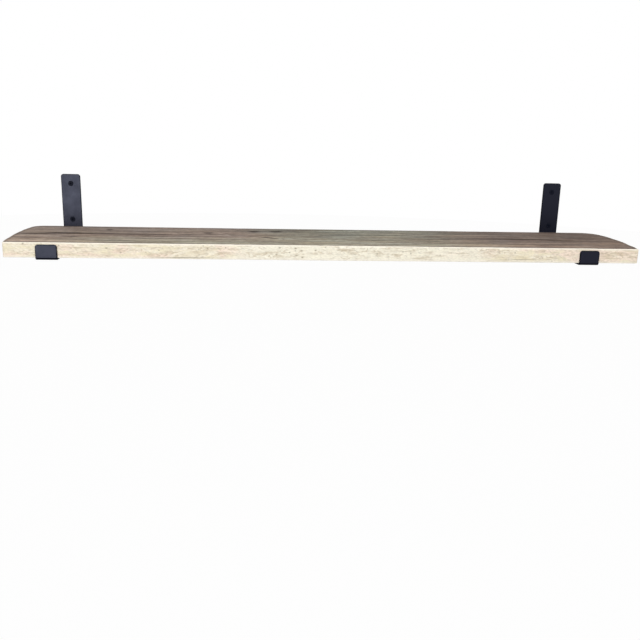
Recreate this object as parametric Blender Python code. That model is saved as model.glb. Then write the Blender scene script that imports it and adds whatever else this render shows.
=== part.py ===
"""Wall shelf: one thick plank lying in two brackets bent from flat steel bar.

Each bracket is one bar bent twice: a leg that screws to the wall, a seat under the plank and
a short lip that holds the plank's front edge. The plank is screwed to the seats from below.

Metres, +Z up, +Y into the wall, +X to the right of someone who faces the wall. The origin is on
the wall's surface, midway between the brackets and level with the underside of the plank.
"""

import math

import bmesh
import bpy
from mathutils import Vector

# Plank
PLANK_LENGTH = 1.200  # overall, over both bowed ends
PLANK_DEPTH = 0.2157
PLANK_THICKNESS = 0.0284
LEFT_END_BOW = 0.007  # how far the middle of the end stands out past its corners
RIGHT_END_BOW = 0.011
FRONT_CORNER_RADIUS = 0.0025
LEFT_BACK_CORNER_RADIUS = 0.024
RIGHT_BACK_CORNER_RADIUS = 0.034
ARRIS_RADIUS = 0.0015  # rounding of the plank's edges, which the bends of the bar follow

# Brackets
BAR_WIDTH = 0.038
BAR_THICKNESS = 0.0032
BAR_CORNER_RADIUS = 0.005
LEG_HEIGHT = 0.1371  # outside, from the underside of the seat
LIP_HEIGHT = 0.0278  # outside, from the underside of the seat
LEFT_OVERHANG = 0.0762  # from the plank's front corner to the middle of the bracket
RIGHT_OVERHANG = 0.0982

# Screws through the legs into the wall
WALL_SCREW_SHANK = 0.005
WALL_SCREW_HEAD = 0.010
WALL_SCREW_LENGTH = 0.050
WALL_RECESS_SPAN = 0.0048
WALL_RECESS_WIDTH = 0.0012
WALL_RECESS_DEPTH = 0.0018
UPPER_HOLE_DROP = 0.0188  # from the top of the leg
LOWER_HOLE_RISE = 0.0142  # from the top of the plank

# Screws through the seats into the plank
PLANK_SCREW_SHANK = 0.0035
PLANK_SCREW_HEAD = 0.007
PLANK_SCREW_LENGTH = 0.020
PLANK_RECESS_SPAN = 0.0036
PLANK_RECESS_WIDTH = 0.0009
PLANK_RECESS_DEPTH = 0.0013
PLANK_SCREW_PITCH = 0.120  # front to back, about the middle of the seat

# What both kinds of screw share
HEAD_RIM = 0.0004  # the straight edge round a countersunk head
POINT_LENGTH = 0.006

# Clearance between faces that touch, and round a screw in its hole
SEAT_GAP = 0.0003

# Facets of the curved stretches
CORNER_STEPS = 8
BOW_STEPS = 12
ARRIS_STEPS = 3
BEND_STEPS = 6
SCREW_SIDES = 24
SHARP_ANGLE = math.radians(35)  # faces that meet at more than this keep a sharp edge
SAME_PLACE = 1e-6  # points nearer than this are one point

# Places worked out from the sizes above
PLANK_BACK_Y = -(BAR_THICKNESS + SEAT_GAP)
PLANK_FRONT_Y = PLANK_BACK_Y - PLANK_DEPTH
PLANK_MIDDLE_Y = (PLANK_BACK_Y + PLANK_FRONT_Y) / 2
FRONT_EDGE_LENGTH = PLANK_LENGTH - LEFT_END_BOW - RIGHT_END_BOW
BRACKET_X = (FRONT_EDGE_LENGTH - LEFT_OVERHANG - RIGHT_OVERHANG) / 2
SEAT_TOP_Z = -SEAT_GAP
SEAT_UNDERSIDE_Z = SEAT_TOP_Z - BAR_THICKNESS
LEG_TOP_Z = SEAT_UNDERSIDE_Z + LEG_HEIGHT
LIP_TOP_Z = SEAT_UNDERSIDE_Z + LIP_HEIGHT
LIP_FRONT_Y = PLANK_FRONT_Y - SEAT_GAP - BAR_THICKNESS
INNER_BEND = ARRIS_RADIUS
OUTER_BEND = INNER_BEND + BAR_THICKNESS

SIDES = {"left": -BRACKET_X, "right": BRACKET_X}
WALL_HOLES = {"upper": LEG_TOP_Z - UPPER_HOLE_DROP, "lower": PLANK_THICKNESS + LOWER_HOLE_RISE}
SEAT_HOLES = {
    "front": PLANK_MIDDLE_Y - PLANK_SCREW_PITCH / 2,
    "back": PLANK_MIDDLE_Y + PLANK_SCREW_PITCH / 2,
}


def clear_scene():
    """Remove every object that the scene starts with."""
    for old in list(bpy.data.objects):
        bpy.data.objects.remove(old, do_unlink=True)


def finish(name, colour, roughness, metallic):
    """A material with one Principled shader, from a linear colour."""
    material = bpy.data.materials.new(name)
    material.use_nodes = True
    shader = material.node_tree.nodes["Principled BSDF"]
    shader.inputs["Base Color"].default_value = (*colour, 1.0)
    shader.inputs["Roughness"].default_value = roughness
    shader.inputs["Metallic"].default_value = metallic
    return material


def add_object(name, mesh_data, material=None, parent=None, location=(0, 0, 0), turn=(0, 0, 0)):
    """Turn a bmesh into a named object of the scene."""
    mesh = bpy.data.meshes.new(name)
    mesh_data.to_mesh(mesh)
    mesh_data.free()
    obj = bpy.data.objects.new(name, mesh)
    bpy.context.collection.objects.link(obj)
    obj.parent = parent
    obj.location = location
    obj.rotation_euler = turn
    if material is not None:
        mesh.materials.append(material)
    return obj


def as_cutter(obj):
    """Keep an object out of the model: it only takes material away."""
    obj.hide_render = True
    obj.display_type = "WIRE"
    return obj


def cut(target, cutter):
    """Take the cutter's shape out of the target."""
    hole = target.modifiers.new(cutter.name, "BOOLEAN")
    hole.operation = "DIFFERENCE"
    hole.solver = "EXACT"
    hole.object = cutter


def shade_round(obj):
    """Smooth shading on the round stretches, with the sharp edges kept sharp."""
    obj.data.shade_smooth()
    obj.data.set_sharp_from_angle(angle=SHARP_ANGLE)


def arc(centre, radius, start, end, steps):
    """Points along an arc about a centre, from one angle to another, both ends included."""
    angles = [start + (end - start) * step / steps for step in range(steps + 1)]
    return [Vector((centre[0] + radius * math.cos(a), centre[1] + radius * math.sin(a))) for a in angles]


def extruded(points, thickness):
    """A closed solid from an outline of 3D points, carried along a vector."""
    solid = bmesh.new()
    outline = solid.faces.new([solid.verts.new(point) for point in points])
    grown = bmesh.ops.extrude_face_region(solid, geom=[outline], use_keep_orig=True)
    moved = [item for item in grown["geom"] if isinstance(item, bmesh.types.BMVert)]
    bmesh.ops.translate(solid, verts=moved, vec=thickness)
    bmesh.ops.recalc_face_normals(solid, faces=solid.faces)
    return solid


def rounded(solid, edges, radius, steps):
    """Round the given edges of a solid."""
    bmesh.ops.bevel(
        solid, geom=edges, offset=radius, offset_type="OFFSET", segments=steps, profile=0.5, affect="EDGES"
    )


def end_outline(corner_x, bow, back_radius):
    """One end of the plank in plan, from its front edge round to its back edge.

    The end is an arc that stands out by the bow at mid-depth, and a smaller arc joins it
    smoothly to each long edge.
    """
    bow_radius = (PLANK_DEPTH**2 / 4 + bow**2) / (2 * bow)
    bow_centre = Vector((corner_x + bow - bow_radius, PLANK_MIDDLE_Y))

    def corner_centre(radius, y):
        reach = math.sqrt((bow_radius - radius) ** 2 - (y - PLANK_MIDDLE_Y) ** 2)
        return Vector((bow_centre.x + reach, y))

    front_centre = corner_centre(FRONT_CORNER_RADIUS, PLANK_FRONT_Y + FRONT_CORNER_RADIUS)
    back_centre = corner_centre(back_radius, PLANK_BACK_Y - back_radius)
    to_front = front_centre - bow_centre
    to_back = back_centre - bow_centre
    front_angle = math.atan2(to_front.y, to_front.x)
    back_angle = math.atan2(to_back.y, to_back.x)
    front = arc(front_centre, FRONT_CORNER_RADIUS, -math.pi / 2, front_angle, CORNER_STEPS)
    middle = arc(bow_centre, bow_radius, front_angle, back_angle, BOW_STEPS)
    back = arc(back_centre, back_radius, back_angle, math.pi / 2, CORNER_STEPS)
    return front + middle[1:-1] + back


def plank():
    """The plank: its outline in plan carried up by its thickness, with every edge rounded."""
    right = end_outline(BRACKET_X + RIGHT_OVERHANG, RIGHT_END_BOW, RIGHT_BACK_CORNER_RADIUS)
    left = end_outline(BRACKET_X + LEFT_OVERHANG, LEFT_END_BOW, LEFT_BACK_CORNER_RADIUS)
    mirrored = [Vector((-point.x, point.y)) for point in reversed(left)]
    outline = [point.to_3d() for point in right + mirrored]
    solid = extruded(outline, Vector((0, 0, PLANK_THICKNESS)))
    rims = [edge for edge in solid.edges if abs(edge.verts[0].co.z - edge.verts[1].co.z) < SAME_PLACE]
    rounded(solid, rims, ARRIS_RADIUS, ARRIS_STEPS)
    return solid


def bracket():
    """One bar in side view, leg, seat and lip, carried across its width, with its end corners rounded."""
    back_bend = (-OUTER_BEND, SEAT_UNDERSIDE_Z + OUTER_BEND)
    front_bend = (LIP_FRONT_Y + OUTER_BEND, SEAT_UNDERSIDE_Z + OUTER_BEND)
    quarter = math.pi / 2
    profile = [
        Vector((0, LEG_TOP_Z)),
        *arc(back_bend, OUTER_BEND, 0, -quarter, BEND_STEPS),
        *arc(front_bend, OUTER_BEND, -quarter, -2 * quarter, BEND_STEPS),
        Vector((LIP_FRONT_Y, LIP_TOP_Z)),
        Vector((LIP_FRONT_Y + BAR_THICKNESS, LIP_TOP_Z)),
        *arc(front_bend, INNER_BEND, 2 * quarter, 3 * quarter, BEND_STEPS),
        *arc(back_bend, INNER_BEND, 3 * quarter, 4 * quarter, BEND_STEPS),
        Vector((-BAR_THICKNESS, LEG_TOP_Z)),
    ]
    outline = [Vector((-BAR_WIDTH / 2, point.x, point.y)) for point in profile]
    solid = extruded(outline, Vector((BAR_WIDTH, 0, 0)))

    def is_end_corner(edge):
        one, other = (vert.co for vert in edge.verts)
        through_bar = abs(one.x - other.x) < SAME_PLACE and abs(one.z - other.z) < SAME_PLACE
        return through_bar and min(abs(one.z - LEG_TOP_Z), abs(one.z - LIP_TOP_Z)) < SAME_PLACE

    rounded(solid, [edge for edge in solid.edges if is_end_corner(edge)], BAR_CORNER_RADIUS, CORNER_STEPS)
    return solid


def turned(profile):
    """A solid of revolution about Z from (radius, height) points that start and end on the axis."""
    solid = bmesh.new()
    points = [solid.verts.new((radius, 0, height)) for radius, height in profile]
    lines = [solid.edges.new(pair) for pair in zip(points, points[1:])]
    bmesh.ops.spin(
        solid, geom=points + lines, cent=(0, 0, 0), axis=(0, 0, 1), angle=2 * math.pi, steps=SCREW_SIDES
    )
    bmesh.ops.remove_doubles(solid, verts=solid.verts, dist=SAME_PLACE)
    bmesh.ops.recalc_face_normals(solid, faces=solid.faces)
    return solid


def screw_body(shank, head, length):
    """A countersunk screw along +Z with the face of its head at the origin."""
    cone = (head - shank) / 2
    return turned([
        (0, 0),
        (head / 2, 0),
        (head / 2, HEAD_RIM),
        (shank / 2, HEAD_RIM + cone),
        (shank / 2, length - POINT_LENGTH),
        (0, length),
    ])


def screw_hole(shank, head, length):
    """The countersunk hole for a screw: its outline moved out by the gap, open at the head."""
    cone = (head - shank) / 2
    corner = SEAT_GAP * (math.sqrt(2) - 1)
    return turned([
        (0, -head),
        (head / 2 + SEAT_GAP, -head),
        (head / 2 + SEAT_GAP, HEAD_RIM + corner),
        (shank / 2 + SEAT_GAP, HEAD_RIM + cone + corner),
        (shank / 2 + SEAT_GAP, length + SEAT_GAP),
        (0, length + SEAT_GAP),
    ])


def cross_recess(span, width, depth):
    """The cross in a screw head, which starts above the head's face and narrows to half its span."""
    half, arm = span / 2, width / 2
    quadrant = [(half, -arm), (half, arm), (arm, arm)]
    cross = []
    for quarter_turn in range(4):
        angle = quarter_turn * math.pi / 2
        for x, y in quadrant:
            point = (x * math.cos(angle) - y * math.sin(angle), x * math.sin(angle) + y * math.cos(angle))
            cross.append(Vector((*point, -depth)))
    solid = extruded(cross, Vector((0, 0, 2 * depth)))
    for vert in solid.verts:
        if vert.co.z > 0 and max(abs(vert.co.x), abs(vert.co.y)) > width:
            vert.co.x = math.copysign(min(abs(vert.co.x), half / 2), vert.co.x)
            vert.co.y = math.copysign(min(abs(vert.co.y), half / 2), vert.co.y)
    return solid


def driven_screw(name, sizes, recess, material, parent, location, turn=(0, 0, 0)):
    """Add one screw with its cross recess, and return the cutter that makes its hole."""
    screw = add_object(name, screw_body(*sizes), material, parent, location, turn)
    cross = as_cutter(add_object(f"{name}_cross", cross_recess(*recess), parent=screw))
    cut(screw, cross)
    shade_round(screw)
    return as_cutter(add_object(f"{name}_hole", screw_hole(*sizes), None, parent, location, turn))


def main():
    """Build the shelf: the plank, the brackets, and the screws that hold them."""
    clear_scene()
    timber = finish("weathered_pine", (0.245, 0.195, 0.155), 0.75, 0.0)
    coating = finish("black_powder_coat", (0.012, 0.012, 0.016), 0.5, 0.0)
    blackened = finish("blackened_steel", (0.010, 0.010, 0.012), 0.4, 0.8)
    zinc = finish("zinc_plated_steel", (0.42, 0.42, 0.40), 0.35, 1.0)

    shelf = bpy.data.objects.new("wall_shelf", None)
    bpy.context.collection.objects.link(shelf)
    board = add_object("plank", plank(), timber, shelf)
    shade_round(board)

    wall_screw = (WALL_SCREW_SHANK, WALL_SCREW_HEAD, WALL_SCREW_LENGTH)
    wall_recess = (WALL_RECESS_SPAN, WALL_RECESS_WIDTH, WALL_RECESS_DEPTH)
    plank_screw = (PLANK_SCREW_SHANK, PLANK_SCREW_HEAD, PLANK_SCREW_LENGTH)
    plank_recess = (PLANK_RECESS_SPAN, PLANK_RECESS_WIDTH, PLANK_RECESS_DEPTH)
    into_wall = (-math.pi / 2, 0, 0)
    for side, x in SIDES.items():
        bar = add_object(f"{side}_bracket", bracket(), coating, shelf, (x, 0, 0))
        shade_round(bar)
        for height, z in WALL_HOLES.items():
            place = (x, -BAR_THICKNESS, z)
            name = f"{side}_{height}_wall_screw"
            cut(bar, driven_screw(name, wall_screw, wall_recess, blackened, shelf, place, into_wall))
        for row, y in SEAT_HOLES.items():
            place = (x, y, SEAT_UNDERSIDE_Z)
            name = f"{side}_{row}_plank_screw"
            hole = driven_screw(name, plank_screw, plank_recess, zinc, shelf, place)
            cut(bar, hole)
            cut(board, hole)


main()
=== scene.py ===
"""Looks of a wall shelf: a weathered pine plank that lies in two brackets bent from flat bar.

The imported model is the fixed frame, in metres: +X to the right along the plank, +Y into the wall,
+Z up, with the origin on the wall's surface. Each class builds one kind of piece as a numpy surface
in that frame, where the frame has the plain solid, and dresses it with a finish.
"""

from __future__ import annotations

import logging
import math
from collections.abc import Callable, Sequence
from dataclasses import dataclass
from enum import Enum
from functools import partial

import bpy
import numpy as np
from mathutils import Matrix, Vector


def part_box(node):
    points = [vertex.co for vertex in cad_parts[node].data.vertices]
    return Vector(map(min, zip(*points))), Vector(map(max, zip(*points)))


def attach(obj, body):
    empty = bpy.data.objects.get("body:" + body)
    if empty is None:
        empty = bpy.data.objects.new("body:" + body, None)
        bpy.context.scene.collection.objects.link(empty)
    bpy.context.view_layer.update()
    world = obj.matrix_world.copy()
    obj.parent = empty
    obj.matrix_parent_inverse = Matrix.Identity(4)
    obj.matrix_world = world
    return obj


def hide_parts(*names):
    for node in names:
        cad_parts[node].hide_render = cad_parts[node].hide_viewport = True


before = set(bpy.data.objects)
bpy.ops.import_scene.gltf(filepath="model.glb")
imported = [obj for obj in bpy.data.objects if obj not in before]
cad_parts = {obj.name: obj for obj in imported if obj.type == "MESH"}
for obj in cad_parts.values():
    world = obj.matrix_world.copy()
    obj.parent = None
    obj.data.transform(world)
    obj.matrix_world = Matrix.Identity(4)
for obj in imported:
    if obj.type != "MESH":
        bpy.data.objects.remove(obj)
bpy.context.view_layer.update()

MM = 0.001
BODY = "root"
SHARP_ANGLE = math.radians(38)
QUARTER = math.pi / 2
UP = np.array([0.0, 0.0, 1.0])

# Factors that scatter a lattice corner's numbers, then the shift and the factor of each round.
HASH_FACTORS = np.array([374761393, 668265263, 1274126177])
HASH_ROUNDS = ((13, 1103515245), (16, 1))

# Settings that many nodes share. A MapRange node takes a value, where it starts and ends, and what
# those become. A colour Mix node's inputs 0, 6 and 7 are the share and two colours.
SMOOTH = {"interpolation_type": "SMOOTHSTEP"}
TIMES = {"operation": "MULTIPLY"}
TIMES_PLUS = {"operation": "MULTIPLY_ADD"}
LARGER = {"operation": "MAXIMUM"}
RGBA = {"data_type": "RGBA"}

# Noise lies between these values nearly everywhere.
NOISE_LOW, NOISE_HIGH = 0.3, 0.7

# A wave texture turns through this many radians in each unit.
WAVE_RADIANS = 20.0

Array = np.ndarray
Socket = bpy.types.NodeSocket
log = logging.getLogger("wall_shelf")


def linear(code: str) -> tuple[float, float, float, float]:
    """Turns an sRGB hex colour into linear light.

    Args:
        code: the colour, such as #A0B0C0.

    Returns:
        Linear red, green and blue, and an alpha of 1.
    """
    parts = [int(code[start : start + 2], 16) / 255 for start in (1, 3, 5)]
    red, green, blue = (p / 12.92 if p <= 0.04045 else ((p + 0.055) / 1.055) ** 2.4 for p in parts)
    return red, green, blue, 1.0


def smooth_step(low: float, high: float, values: Array) -> Array:
    """Rises from 0 at the low value to 1 at the high one, level at both: 3 t squared less 2 t cubed."""
    share = np.clip((values - low) / (high - low), 0.0, 1.0)
    return share * share * (3.0 - 2.0 * share)


def lattice_noise(points: Array, cell: tuple[float, float, float]) -> Array:
    """Smooth noise in space: a hashed value at each lattice corner, blended by a quintic curve.

    Args:
        points: places in metres, three numbers each.
        cell: the lattice spacing along each axis, in metres.

    Returns:
        One value from -1 to 1 for each place.
    """
    scaled = points / np.array(cell)
    base = np.floor(scaled).astype(np.int64)
    part = scaled - base
    blend = part**3 * (part * (part * 6.0 - 15.0) + 10.0)
    total = np.zeros(points.shape[:-1])
    for corner in np.ndindex(2, 2, 2):
        mixed = (base + np.array(corner)) @ HASH_FACTORS
        for shift, factor in HASH_ROUNDS:
            mixed = (mixed ^ (mixed >> shift)) * factor
        value = (mixed & 0xFFFF) / 32767.5 - 1.0
        total += value * np.prod(np.where(corner, blend, 1.0 - blend), axis=-1)
    return total


def add_node(
    tree: bpy.types.NodeTree,
    kind: str,
    inputs: dict[str | int, object] | Sequence[object] = (),
    out: str | int = 0,
    **settings: object,
) -> Socket:
    """Adds a shader node with its settings and links.

    Args:
        tree: the node tree that gets the node.
        kind: the node's type without its ShaderNode prefix.
        inputs: what the inputs take, in order or by name or number: a socket is linked, a value is set.
        out: the output to hand back, by name or number.
        settings: properties of the node itself.

    Returns:
        The chosen output, or None on a node that has no outputs.
    """
    node = tree.nodes.new("ShaderNode" + kind)
    for name, value in settings.items():
        setattr(node, name, value)
    for name, value in inputs.items() if isinstance(inputs, dict) else enumerate(inputs):
        if isinstance(value, Socket):
            tree.links.new(value, node.inputs[name])
        else:
            node.inputs[name].default_value = value
    return node.outputs[out] if len(node.outputs) else None


def blank_material(name: str) -> tuple[bpy.types.Material, Callable[..., Socket]]:
    """Makes an empty material.

    Args:
        name: what the real material is and how its surface was made.

    Returns:
        The material, and add_node bound to its tree.
    """
    material = bpy.data.materials.new(name)
    material.use_nodes = True
    material.node_tree.nodes.clear()
    return material, partial(add_node, material.node_tree)


@dataclass(frozen=True)
class Box:
    """The space that a node of the frame takes up."""

    low: Array
    high: Array

    @classmethod
    def of(cls, node: str) -> Box:
        """The box of the node with that name."""
        low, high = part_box(node)
        return cls(np.array(low), np.array(high))

    @property
    def centre(self) -> Array:
        """The middle of the box."""
        return (self.low + self.high) / 2

    @property
    def size(self) -> Array:
        """How long the box is along each axis."""
        return self.high - self.low


class Surface:
    """A mesh in the making: grids of points, and the faces that join them."""

    def __init__(self) -> None:
        """Starts with no points and no faces."""
        self.points: list[Array] = []
        self.faces: list[list[int]] = []
        self.count = 0

    def add_points(self, points: Array) -> Array:
        """Adds a grid of points.

        Args:
            points: an array whose last axis is x, y and z.

        Returns:
            The number of each point, in the shape of the grid.
        """
        shape = points.shape[:-1]
        numbers = self.count + np.arange(math.prod(shape)).reshape(shape)
        self.points.append(points.reshape(-1, 3))
        self.count += numbers.size
        return numbers

    def add_grid(self, numbers: Array, wrap: bool = False) -> None:
        """Joins a table of points with quads that face first axis cross second axis.

        Args:
            numbers: the points' numbers, as a table.
            wrap: whether the last column joins the first.
        """
        table = np.hstack([numbers, numbers[:, :1]]) if wrap else numbers
        corners = (table[:-1, :-1], table[1:, :-1], table[1:, 1:], table[:-1, 1:])
        self.faces += np.stack(corners, axis=-1).reshape(-1, 4).tolist()

    def add_fan(self, pole: int, ring: Array) -> None:
        """Closes a ring of points onto a pole, with triangles that run round the ring in its own order."""
        poles = np.full(ring.size, pole)
        self.faces += np.stack([poles, ring, np.roll(ring, -1)], axis=-1).tolist()

    def to_object(self, name: str) -> bpy.types.Object:
        """Makes the object, smooth but for its sharp edges.

        Args:
            name: the object's name.

        Returns:
            The new object, at the origin and linked to the scene.
        """
        mesh = bpy.data.meshes.new(name)
        mesh.from_pydata(np.concatenate(self.points).tolist(), [], self.faces)
        mesh.shade_smooth()
        mesh.set_sharp_from_angle(angle=SHARP_ANGLE)
        piece = bpy.data.objects.new(name, mesh)
        bpy.context.scene.collection.objects.link(piece)
        return piece


def add_attribute(mesh: bpy.types.Mesh, name: str, values: Array) -> None:
    """Stores a number, or a row of three, for each point of a mesh under a name."""
    kind, slot = ("FLOAT", "value") if values.ndim == 1 else ("FLOAT_VECTOR", "vector")
    mesh.attributes.new(name, kind, "POINT").data.foreach_set(slot, values.astype(np.float32).ravel())


@dataclass
class Part:
    """A part of the shelf that stands for one node of the frame."""

    node: str

    @property
    def box(self) -> Box:
        """The space that the part's node takes up."""
        return Box.of(self.node)

    def dress(self, piece: bpy.types.Object, material: bpy.types.Material, slot: str) -> bpy.types.Object:
        """Gives a piece its finish, and lets it stand for the node.

        Args:
            piece: the piece.
            material: its finish.
            slot: not used.

        Returns:
            The finished piece.
        """
        piece.data.materials.append(material)
        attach(piece, BODY)
        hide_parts(self.node)
        return piece


class Blend(Enum):
    """How a coat of colour goes over what lies below it."""

    COVER = "MIX"
    TINT = "MULTIPLY"


@dataclass(frozen=True)
class Coat:
    """A coat of colour: how much of it there is, its colour, and how it goes on."""

    share: Socket | float
    colour: Socket | str
    blend: Blend = Blend.COVER


@dataclass(frozen=True)
class Grain:
    """The size of one streak in timber, in millimetres, and how far it leans down from the grain."""

    length: float
    width: float
    lean: float = 0.0


@dataclass(frozen=True)
class Knot:
    """An oval mark where a branch left the log, in metres from the plank's left front lower corner.

    A knot that has faded by 1 is gone. Its turn, seen from above, goes from the grain towards the back.
    """

    along: float
    back: float
    half_length: float
    half_width: float
    half_height: float
    faded: float = 0.0
    turn: float = 0.0
    up: float = float(Box.of("plank").size[2])

    @classmethod
    def pin(cls, along: float, up: float, half_length: float, half_height: float = 0.0016) -> Knot:
        """A small mark on the front face."""
        return cls(along, 0.0, half_length, 0.02, half_height, up=up)

    @property
    def centre(self) -> Array:
        """Where the middle of the knot lies."""
        return np.array([self.along, self.back, self.up])

    @property
    def reach(self) -> Array:
        """How far the knot reaches from its middle along each axis."""
        return np.array([self.half_length, self.half_width, self.half_height])


@dataclass(frozen=True)
class WeatheredPine:
    """Pine board, brushed and weathered on top, with its edges freshly sawn and sanded.

    Weather takes the colour out of the soft early wood and leaves the hard late wood as darker lines,
    so the top is a dull grey brown in long streaks. A saw cut opens fresh wood, which is cream with
    pink and straw tints, and shows rings on the ends and long ones underneath. Sizes are in millimetres.
    """

    top_brown: str = "#AD9B8E"
    top_grey: str = "#A5A190"
    top_umber: str = "#857468"
    top_late: str = "#7A6B60"
    top_stain: str = "#5E4F47"
    top_dark: str = "#332A26"
    cut_early: str = "#EFE7D4"
    cut_late: str = "#DBCFB4"
    cut_pink: str = "#EFDACA"
    cut_straw: str = "#E6DCC0"
    cut_pale: str = "#EFEAD9"
    cut_arris_highlight: str = "#F6F0E2"
    cut_brown: str = "#BAA98D"
    cut_fleck: str = "#8A7F66"
    cut_knot: str = "#B58E62"
    warm_tone: tuple[float, ...] = (1.045, 1.0, 0.945)
    cool_tone: tuple[float, ...] = (0.955, 1.0, 1.055)
    # These tones paint light and shade on the top: paler at the front, darker and greyer at the back.
    front_light_tone: tuple[float, ...] = (1.50, 1.50, 1.46)
    plain_tone: tuple[float, ...] = (1.0, 1.0, 1.0)
    behind_tone: tuple[float, ...] = (1.02, 1.02, 1.02)
    back_shade_tone: tuple[float, ...] = (0.81, 0.83, 0.86, 1.0)
    bleached_back_shade_tone: tuple[float, ...] = (0.90, 0.96, 0.98, 1.0)
    fibre: Grain = Grain(45.0, 1.1)
    streak: Grain = Grain(200.0, 10.0)
    split: Grain = Grain(230.0, 4.5)
    nick: Grain = Grain(85.0, 10.0)
    band: Grain = Grain(360.0, 55.0)
    blotch: Grain = Grain(34.0, 9.0)
    tint: Grain = Grain(80.0, 34.0)
    dash: Grain = Grain(24.0, 3.4)
    stroke: Grain = Grain(19.0, 3.2, math.radians(36))
    curl: Grain = Grain(44.0, 13.0)
    curl_lines: float = 9.0
    speck: Grain = Grain(4.5, 2.4)
    scuff: Grain = Grain(9.0, 11.0)
    fleck_spacing: float = 8.0
    saw_mark_spacing: float = 28.274
    bump_height: float = 0.25

    def material(self, plank: Plank) -> bpy.types.Material:
        """Builds the material for a plank.

        Args:
            plank: the plank, which has the places of the knots.

        Returns:
            The material.
        """
        material, add = blank_material("pine_weathered_top_sawn_edges")
        painter = PinePainter(self, plank, add)
        # The weathered skin ends in a slightly ragged line where the edge was sanded.
        ragged = add("Math", (painter.blotch, 1.2, painter.edge), **TIMES_PLUS)
        skin = add("MapRange", (ragged, 0.2, 0.9, 1.0, 0.0), **SMOOTH)
        faces = []
        for base, coats in ((self.cut_early, painter.cut()), (self.top_brown, painter.top())):
            colour = linear(base)
            for coat in coats:
                over = linear(coat.colour) if isinstance(coat.colour, str) else coat.colour
                inputs = {0: coat.share, 6: colour, 7: over}
                colour = add("Mix", inputs, 2, blend_type=coat.blend.value, **RGBA)
            faces.append(colour)

        dull = add("MapRange", (skin, 0.0, 1.0, 0.58, 0.72))
        shader = add("BsdfPrincipled", {
            "Base Color": add("Mix", {0: skin, 6: faces[0], 7: faces[1]}, 2, **RGBA),
            "Roughness": add("Math", (painter.fibre, 0.12, dull), **TIMES_PLUS),
            "Specular IOR Level": add("MapRange", (skin, 0.0, 1.0, 0.25, 0.1)),
            "Normal": painter.relief(),
        })
        add("OutputMaterial", {"Surface": shader})
        return material


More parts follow.
